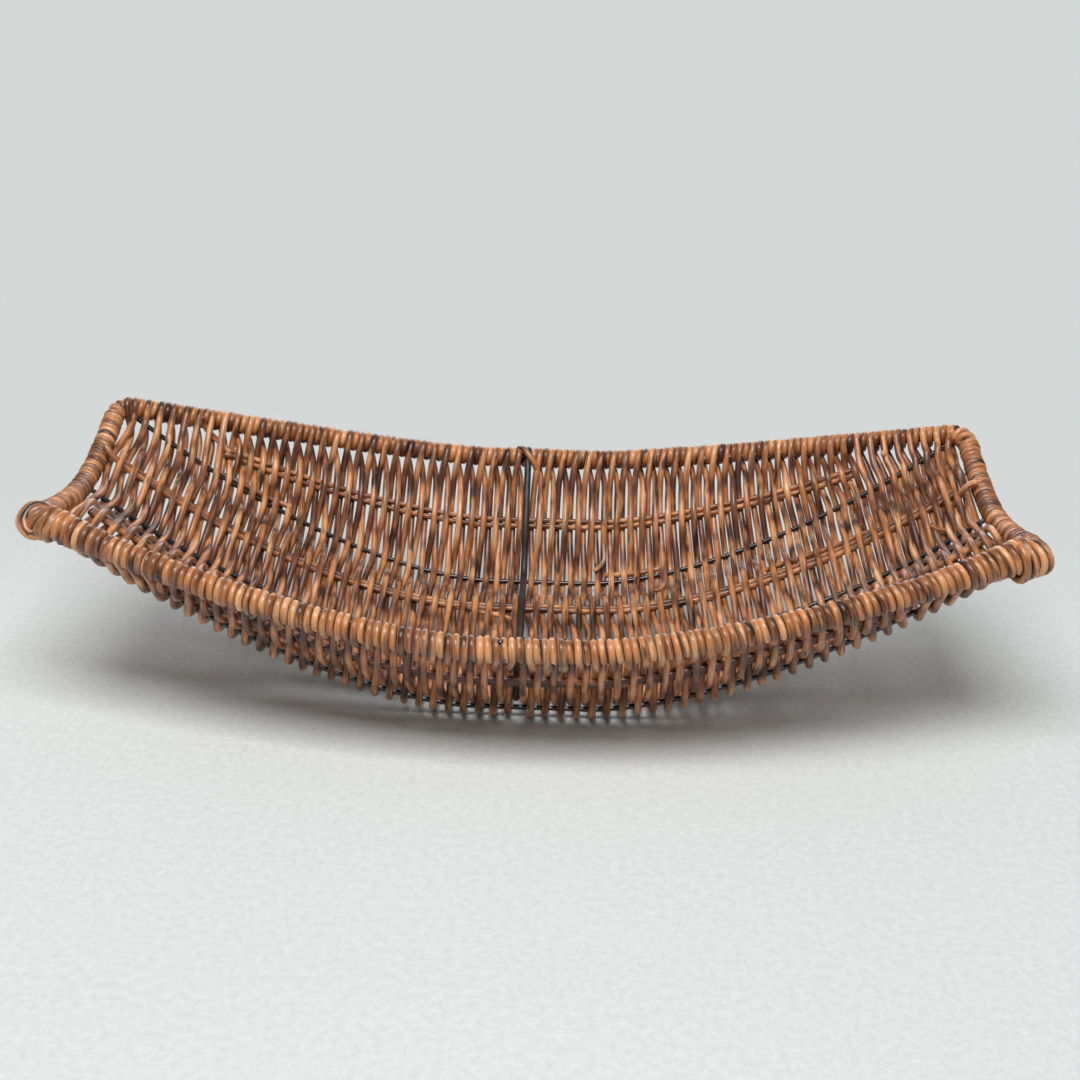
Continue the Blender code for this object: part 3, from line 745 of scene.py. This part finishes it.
# each as its points, its radius and its tone
loose_rods = (
    # a cut end that points out of the back wall, and a thin hooked one in the middle
    ([(0.826, 7.24, -0.0045), (0.826, 7.24, 0), (0.826, 7.24, 0.0058)], 0.0016, 1.7),
    ([(0.160, 6.95, -0.0005), (0.1655, 6.60, 0.0030), (0.1669, 6.36, 0.0042), (0.157, 6.24, 0.005),
      (0.1443, 6.14, 0.0060)], 0.0011, 0.8),
    # spare rods beside the back bottom wire
    ([(0.165, 6.22, -0.002), (0.184, 6.17, -0.0006), (0.230, 6.15, -0.0004),
      (0.292, 6.15, -0.0006), (0.315, 6.20, -0.002)], 0.0014, 0.5),
    ([(-0.755, 6.24, -0.003), (-0.730, 6.18, -0.0004), (-0.670, 6.18, 0), (-0.627, 6.17, 0.0012),
      (-0.606, 6.12, 0.0034)], 0.0015, 0.35),
    # a twig on the bottom, a wall rod that ends in a bend up to the rim
    ([(0.302, 6.00, 0.0020), (0.3119, 5.56, 0.0042), (0.3006, 5.22, 0.005), (0.2866, 5.19, 0.0052)],
     0.0009, 0.3),
    ([(-0.750, 7.02, 0), (-0.768, 7.18, 0), (-0.782, 7.28, 0.0004), (-0.799, 7.42, 0.0012),
      (-0.8146, 7.64, 0.0030), (-0.8188, 7.82, 0.0050)], 0.0015, 0.6),
    # third rods beside the bottom pairs
    ([(-0.21, 5.00, -0.002), (-0.167, 4.90, 0), (-0.119, 4.80, 0), (-0.074, 4.70, 0),
      (-0.045, 4.66, -0.002)], 0.0014, 0.45),
    ([(0.530, 5.30, -0.002), (0.567, 5.24, 0), (0.657, 5.18, 0), (0.713, 5.14, 0),
      (0.765, 5.10, 0.0005), (0.790, 5.05, -0.002)], 0.0014, 0.4),
    # thin curved ends near the right binding, and the last strand at both bindings
    ([(0.884, 4.62, -0.001), (0.8921, 4.48, 0.002), (0.9033, 4.28, 0.0032), (0.9188, 4.16, 0.0024),
      (0.930, 4.02, 0)], 0.0009, 0.5),
    ([(0.992, 4.72, 0.0050), (0.980, 4.76, 0.0050), (0.9582, 4.76, 0.0030), (0.935, 4.72, -0.0012)],
     0.0015, 0.7),
    ([(-0.992, 4.92, 0.0045), (-0.980, 4.86, 0.0042), (-0.9611, 4.88, 0.0026),
      (-0.937, 4.92, -0.0012)], 0.0015, 0.35))
rod_piece("loose_weave_ends",
          [(smooth_line(over_weave(places), FINE_STEP), radius, shade, False)
           for places, radius, shade in loose_rods], rattan, [], ROD_SIDES)
# one strand crosses over the curl of the bar at the back rim
over_bar = [(-0.0125, 0.1085, 0.0580), (-0.0112, 0.1062, 0.0612), (-0.0088, 0.1032, 0.0620),
            (-0.0058, 0.1002, 0.0600), (-0.0032, 0.0988, 0.0565), (-0.0018, 0.0984, 0.0530)]
rod_piece("strand_over_bar", [(smooth_line(over_bar, FINE_STEP), WEAVER / 2, 0.40, False)], rattan,
          [], ROD_SIDES)


# Photo stage: a pale fleece floor that fades into a pale backdrop, most of all behind the basket,
# soft light from above, in front and low behind, and the camera in front and a little above. The
# fade from under the basket backwards is painted light: it lightens the basket's shadow there.
FLOOR_SIZE = 8
bpy.ops.object.select_all(action="DESELECT")
bpy.ops.mesh.primitive_grid_add(x_subdivisions=2, y_subdivisions=2, size=FLOOR_SIZE)
floor = bpy.context.object
floor.name = "stage_floor"
BACKDROP = colour(212, 216, 215)
fleece, tree, shader = new_material("pale_fleece")
coords = node(tree, "ShaderNodeTexCoord").outputs["Object"]
tufts = node(tree, "ShaderNodeTexNoise", {"Vector": coords, "Scale": 300.0, "Detail": 5.0,
                                          "Roughness": 0.7})
clumps = node(tree, "ShaderNodeTexNoise", {"Vector": coords, "Scale": 22.0, "Detail": 3.0})
mixed = node(tree, "ShaderNodeMath", {0: tufts.outputs["Fac"], 1: clumps.outputs["Fac"]},
             operation="ADD")
tree.links.new(ramp(tree, tufts.outputs["Fac"], [(0.3, colour(204, 207, 206)),
                                                 (0.7, colour(219, 222, 221))]),
               shader.inputs["Base Color"])
shader.inputs["Roughness"].default_value = 1.0
shader.inputs["Specular IOR Level"].default_value = 0.1
bump = node(tree, "ShaderNodeBump", {"Height": mixed.outputs[0], "Strength": 0.45,
                                     "Distance": 0.0015})
tree.links.new(bump.outputs["Normal"], shader.inputs["Normal"])
# seen by the camera, the floor fades from under the basket backwards, painted light that lightens
# the basket's shadow there, and far out on all sides
behind = node(tree, "ShaderNodeSeparateXYZ", {"Vector": coords}).outputs["Y"]
fade = node(tree, "ShaderNodeMapRange", {"Value": behind, "From Min": -0.04, "From Max": 0.19},
            interpolation_type="SMOOTHSTEP").outputs["Result"]
far_out = node(tree, "ShaderNodeVectorMath", {0: coords}, operation="LENGTH").outputs["Value"]
far_fade = node(tree, "ShaderNodeMapRange", {"Value": far_out, "From Min": 0.48, "From Max": 1.05},
                interpolation_type="SMOOTHSTEP").outputs["Result"]
faded = node(tree, "ShaderNodeMath", {0: fade, 1: far_fade}, operation="MAXIMUM").outputs[0]
seen = node(tree, "ShaderNodeLightPath").outputs["Is Camera Ray"]
share = node(tree, "ShaderNodeMath", {0: faded, 1: seen}, operation="MULTIPLY").outputs[0]
plain = node(tree, "ShaderNodeEmission", {"Color": BACKDROP, "Strength": 1.0})
surface = node(tree, "ShaderNodeMixShader", {0: share, 1: shader.outputs["BSDF"],
                                             2: plain.outputs["Emission"]})
tree.links.new(surface.outputs["Shader"], tree.nodes["Material Output"].inputs["Surface"])
floor.data.materials.append(fleece)

# the room gives a dim even light, and the camera sees the backdrop in its place
world = bpy.data.worlds.new("soft_room")
bpy.context.scene.world = world
world.use_nodes = True
tree = world.node_tree
sky = tree.nodes["Background"]
sky.inputs["Color"].default_value = colour(235, 238, 238)
sky.inputs["Strength"].default_value = 0.21
seen_sky = node(tree, "ShaderNodeBackground", {"Color": BACKDROP, "Strength": 1.0})
path_kind = node(tree, "ShaderNodeLightPath")
room = node(tree, "ShaderNodeMixShader", {0: path_kind.outputs["Is Camera Ray"],
                                          1: sky.outputs["Background"],
                                          2: seen_sky.outputs["Background"]})
tree.links.new(room.outputs["Shader"], tree.nodes["World Output"].inputs["Surface"])
LAMP_AIM = Vector((0, 0, 0.03))
for lamp_name, location, width, depth, power in (
        ("overhead_softbox", (-0.10, -0.56, 1.50), 1.30, 0.70, 28.0),
        ("low_back_light", (0.0, 1.10, 0.42), 1.20, 0.40, 4.0),
        ("front_fill", (0.4, -1.6, 0.7), 0.9, 0.9, 1.0)):
    light = bpy.data.lights.new(lamp_name, "AREA")
    light.shape = "RECTANGLE"
    light.size = width
    light.size_y = depth
    light.energy = power
    lamp = bpy.data.objects.new(lamp_name, light)
    bpy.context.scene.collection.objects.link(lamp)
    lamp.location = location
    lamp.visible_camera = False
    lamp.rotation_euler = (LAMP_AIM - Vector(location)).to_track_quat("-Z", "Y").to_euler()

# camera as the photo was taken: angles in radians, distance in metres
YAW, ELEVATION, ROLL = 0.0054, 0.4333, 0.0313
CAMERA_DISTANCE = 0.7469
FOCAL_PIXELS = 1600.4
AIM = Vector((0.0016, 0.0, 0.0579))
PHOTO_PIXELS = 1080
SENSOR = 36.0
away = Vector((math.sin(YAW) * math.cos(ELEVATION), -math.cos(YAW) * math.cos(ELEVATION),
               math.sin(ELEVATION)))
right = (-away).cross(Vector((0, 0, 1))).normalized()
up = right.cross(-away)
camera_x = right * math.cos(ROLL) + up * math.sin(ROLL)
camera_y = up * math.cos(ROLL) - right * math.sin(ROLL)
camera_data = bpy.data.cameras.new("photo_camera")
camera_data.sensor_width = SENSOR
camera_data.lens = FOCAL_PIXELS * SENSOR / PHOTO_PIXELS
camera_data.clip_start = 0.01
camera = bpy.data.objects.new("photo_camera", camera_data)
bpy.context.scene.collection.objects.link(camera)
turned = Matrix((camera_x, camera_y, away)).transposed().to_4x4()
camera.matrix_world = Matrix.Translation(AIM + away * CAMERA_DISTANCE) @ turned
bpy.context.scene.camera = camera
bpy.context.scene.view_settings.view_transform = "Standard"
